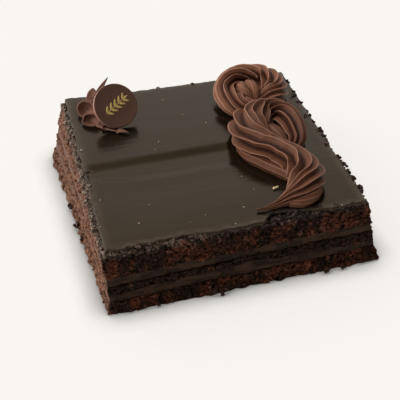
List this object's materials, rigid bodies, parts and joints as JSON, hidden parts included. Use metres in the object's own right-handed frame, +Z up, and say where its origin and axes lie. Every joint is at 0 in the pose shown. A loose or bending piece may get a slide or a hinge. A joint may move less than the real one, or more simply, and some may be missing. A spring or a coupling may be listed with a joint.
{
  "type": "square chocolate layer cake with piped swirls",
  "caption": "Square cut piece of chocolate layer cake: sponge and ganache layers, dark glaze on top, piped chocolate swirls and a round chocolate disc.",
  "frame": {"origin": "middle of the base, on the surface that the cake stands on", "axes": "+Z up out of the glazed top, +X to the right-hand side and -Y to the front cut face"},
  "size_m": [0.1798, 0.1767, 0.0698],
  "materials": {
    "sponge": "torn moist chocolate sponge crumb, dark red-brown, rough and open",
    "filling": "smooth cut ganache, dark brown, soft satin sheen",
    "glaze": "set dark chocolate glaze, nearly black, satin with soft waves",
    "piping": "piped chocolate cream, warm brown, soft sheen along thin ridges",
    "medallion": "moulded dark chocolate disc, smooth satin face with a paler rim",
    "sprinkle": "pale gold sugar sprinkle with a pearly sheen"
  },
  "bodies": {
    "root": {"bottom_sponge": "sponge", "lower_filling": "filling", "middle_sponge": "sponge", "upper_filling": "filling", "top_sponge": "sponge", "glaze": "glaze", "rosette": "piping", "scroll": "piping", "ruffle": "piping", "medallion": "medallion"}
  },
  "joints": []
}
